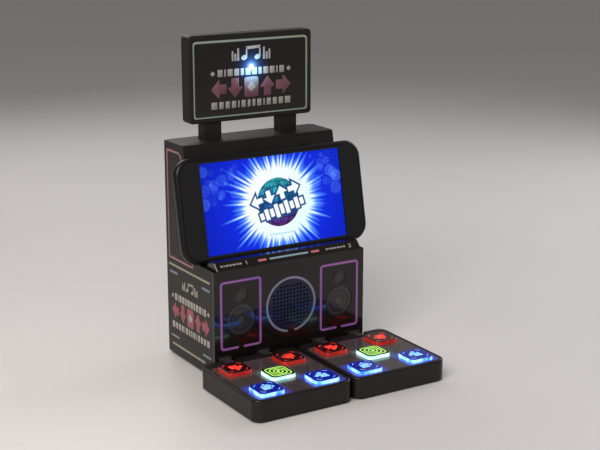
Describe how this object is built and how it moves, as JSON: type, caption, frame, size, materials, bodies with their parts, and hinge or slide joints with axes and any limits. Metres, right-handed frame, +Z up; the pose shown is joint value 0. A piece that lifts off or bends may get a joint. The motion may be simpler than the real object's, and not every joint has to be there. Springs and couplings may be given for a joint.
{
  "type": "dance rhythm machine",
  "caption": "Tabletop finger-dance game: upright cabinet with a lit sign and a tilted phone as screen, and hinged pads with glowing push buttons.",
  "frame": {"origin": "middle of the whole footprint, on the surface that the feet stand on", "axes": "+X to the player's right, +Y away from the player towards the cabinet's back, +Z up"},
  "size_m": [0.1392, 0.1404, 0.2124],
  "materials": {
    "cabinet_print": "printed black, satin",
    "gloss_front": "printed black, glossy",
    "black_plastic": "fine-textured black",
    "rubber": "matt",
    "steel": "plated",
    "grille": "black, fine",
    "basket": "satin",
    "paper": "pressed paper",
    "circuit_board": "green solder resist",
    "cell_sleeve": "shrink sleeve",
    "switch_white": "satin",
    "white_light": "lit lens",
    "phone_case": "dark anodised",
    "phone_glass": "polished",
    "screen_light": "lit display",
    "smoked_panel": "smoked, polished",
    "membrane": "translucent silicone",
    "red_button": "lit from below",
    "green_button": "lit from below",
    "neon_pink": "printed neon line",
    "neon_purple": "printed neon line",
    "neon_pale": "printed neon line",
    "ink_cream": "printed ink",
    "ink_pink": "printed ink",
    "ink_blue": "printed ink",
    "button_icon": "lit print",
    "blue_button": "lit from below"
  },
  "bodies": {
    "cabinet": {"cabinet_left_side": "cabinet_print", "cabinet_right_side": "cabinet_print", "front_panel": "gloss_front", "top_cover": "cabinet_print", "rear_cover": "black_plastic", "base_plate": "black_plastic", "backrest_panel": "black_plastic", "phone_shelf": "black_plastic", "shelf_lip": "gloss_front", "cradle_rubber_strips": "rubber", "cabinet_feet": "rubber", "cabinet_screws": "steel", "speaker_grille": "grille", "speaker_basket": "basket", "speaker_cone": "paper", "main_board": "circuit_board", "battery_tray": "black_plastic", "batteries": "cell_sleeve", "battery_contacts": "steel", "power_switch_case": "black_plastic", "sign_posts": "black_plastic", "sign_rear_shell": "black_plastic", "sign_bezel": "black_plastic", "sign_panel": "gloss_front", "sign_light_board": "circuit_board", "sign_led": "white_light", "hinge_brackets": "black_plastic"},
    "battery_door": {"battery_door": "black_plastic"},
    "power_switch_knob": {"power_switch_knob": "switch_white"},
    "phone": {"phone_shell": "phone_case", "phone_glass": "phone_glass", "phone_display": "screen_light"},
    "phone_side_key": {"phone_side_key": "phone_case"},
    "left_pad": {"left_pad_shell": "black_plastic", "left_pad_base": "black_plastic", "left_pad_panel": "smoked_panel", "left_pad_board": "circuit_board", "left_pad_membrane": "membrane", "left_pad_feet": "rubber", "left_pad_screws": "steel", "left_pad_hinge_pins": "steel"},
    "left_pad_centre_button": {"left_pad_centre_button": "green_button"},
    "left_pad_rear_left_button": {"left_pad_rear_left_button": "red_button"},
    "left_pad_rear_right_button": {"left_pad_rear_right_button": "red_button"},
    "left_pad_front_left_button": {"left_pad_front_left_button": "blue_button"},
    "left_pad_front_right_button": {"left_pad_front_right_button": "blue_button"},
    "right_pad": {"right_pad_shell": "black_plastic", "right_pad_base": "black_plastic", "right_pad_panel": "smoked_panel", "right_pad_board": "circuit_board", "right_pad_membrane": "membrane", "right_pad_feet": "rubber", "right_pad_screws": "steel", "right_pad_hinge_pins": "steel"},
    "right_pad_centre_button": {"right_pad_centre_button": "green_button"},
    "right_pad_rear_left_button": {"right_pad_rear_left_button": "red_button"},
    "right_pad_rear_right_button": {"right_pad_rear_right_button": "red_button"},
    "right_pad_front_left_button": {"right_pad_front_left_button": "blue_button"},
    "right_pad_front_right_button": {"right_pad_front_right_button": "blue_button"}
  },
  "joints": [
    {"name": "left_pad_fold", "type": "hinge", "parent": "cabinet", "child": "left_pad", "pos_m": [-0.03515, -0.00165, 0.0124], "axis": [-1, 0, 0], "range_deg": [0, 90]},
    {"name": "left_pad_centre_press", "type": "slide", "parent": "left_pad", "child": "left_pad_centre_button", "axis": [0, 0, -1], "range_m": [0, 0.001], "stiffness_N_per_m": 600, "springref_m": -0.0003},
    {"name": "left_pad_rear_left_press", "type": "slide", "parent": "left_pad", "child": "left_pad_rear_left_button", "axis": [0, 0, -1], "range_m": [0, 0.001], "stiffness_N_per_m": 600, "springref_m": -0.0003},
    {"name": "left_pad_rear_right_press", "type": "slide", "parent": "left_pad", "child": "left_pad_rear_right_button", "axis": [0, 0, -1], "range_m": [0, 0.001], "stiffness_N_per_m": 600, "springref_m": -0.0003},
    {"name": "left_pad_front_left_press", "type": "slide", "parent": "left_pad", "child": "left_pad_front_left_button", "axis": [0, 0, -1], "range_m": [0, 0.001], "stiffness_N_per_m": 600, "springref_m": -0.0003},
    {"name": "left_pad_front_right_press", "type": "slide", "parent": "left_pad", "child": "left_pad_front_right_button", "axis": [0, 0, -1], "range_m": [0, 0.001], "stiffness_N_per_m": 600, "springref_m": -0.0003},
    {"name": "right_pad_fold", "type": "hinge", "parent": "cabinet", "child": "right_pad", "pos_m": [0.03515, -0.00165, 0.0124], "axis": [-1, 0, 0], "range_deg": [0, 90]},
    {"name": "right_pad_centre_press", "type": "slide", "parent": "right_pad", "child": "right_pad_centre_button", "axis": [0, 0, -1], "range_m": [0, 0.001], "stiffness_N_per_m": 600, "springref_m": -0.0003},
    {"name": "right_pad_rear_left_press", "type": "slide", "parent": "right_pad", "child": "right_pad_rear_left_button", "axis": [0, 0, -1], "range_m": [0, 0.001], "stiffness_N_per_m": 600, "springref_m": -0.0003},
    {"name": "right_pad_rear_right_press", "type": "slide", "parent": "right_pad", "child": "right_pad_rear_right_button", "axis": [0, 0, -1], "range_m": [0, 0.001], "stiffness_N_per_m": 600, "springref_m": -0.0003},
    {"name": "right_pad_front_left_press", "type": "slide", "parent": "right_pad", "child": "right_pad_front_left_button", "axis": [0, 0, -1], "range_m": [0, 0.001], "stiffness_N_per_m": 600, "springref_m": -0.0003},
    {"name": "right_pad_front_right_press", "type": "slide", "parent": "right_pad", "child": "right_pad_front_right_button", "axis": [0, 0, -1], "range_m": [0, 0.001], "stiffness_N_per_m": 600, "springref_m": -0.0003},
    {"name": "battery_door_hinge", "type": "hinge", "parent": "cabinet", "child": "battery_door", "pos_m": [0, 0.06905, 0.0206], "axis": [-1, 0, 0], "range_deg": [0, 75]},
    {"name": "power_switch_slide", "type": "slide", "parent": "cabinet", "child": "power_switch_knob", "axis": [1, 0, 0], "range_m": [0, 0.003]},
    {"name": "phone_lift", "type": "slide", "parent": "cabinet", "child": "phone", "axis": [0, 0.1959, 0.9806], "range_m": [0, 0.07]},
    {"name": "phone_side_key_press", "type": "slide", "parent": "phone", "child": "phone_side_key", "axis": [0, -0.1959, -0.9806], "range_m": [0, 0.0003], "stiffness_N_per_m": 1000, "springref_m": -0.0002}
  ]
}
